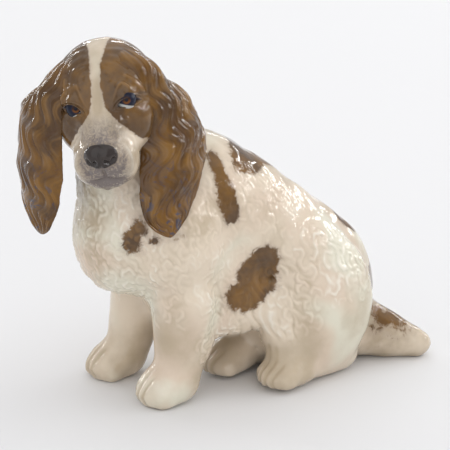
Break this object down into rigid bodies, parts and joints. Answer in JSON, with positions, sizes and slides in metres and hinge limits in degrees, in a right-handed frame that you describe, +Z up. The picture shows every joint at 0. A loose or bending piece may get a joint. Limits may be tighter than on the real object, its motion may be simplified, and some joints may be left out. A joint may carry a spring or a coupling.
{
  "type": "ceramic dog figurine",
  "caption": "Seated spaniel figurine in glazed porcelain: hollow body and turned head, with separately cast legs, tail and long wavy ears luted on.",
  "frame": {"origin": "on the table, under the middle of the figurine's bounding box", "axes": "+Z up; the dog's body faces -Y, its left side is at +X; its head is turned towards +X"},
  "size_m": [0.083, 0.193, 0.166],
  "materials": {
    "white_glaze": "glossy cream glaze over hand-painted brown patches",
    "brown_glaze": "glossy glaze over brown brushwork"
  },
  "bodies": {
    "root": {"torso": "white_glaze", "head": "white_glaze", "left_foreleg": "white_glaze", "right_foreleg": "white_glaze", "left_hind_leg": "white_glaze", "right_hind_leg": "white_glaze", "tail": "white_glaze", "left_ear": "brown_glaze", "right_ear": "brown_glaze"}
  },
  "joints": []
}
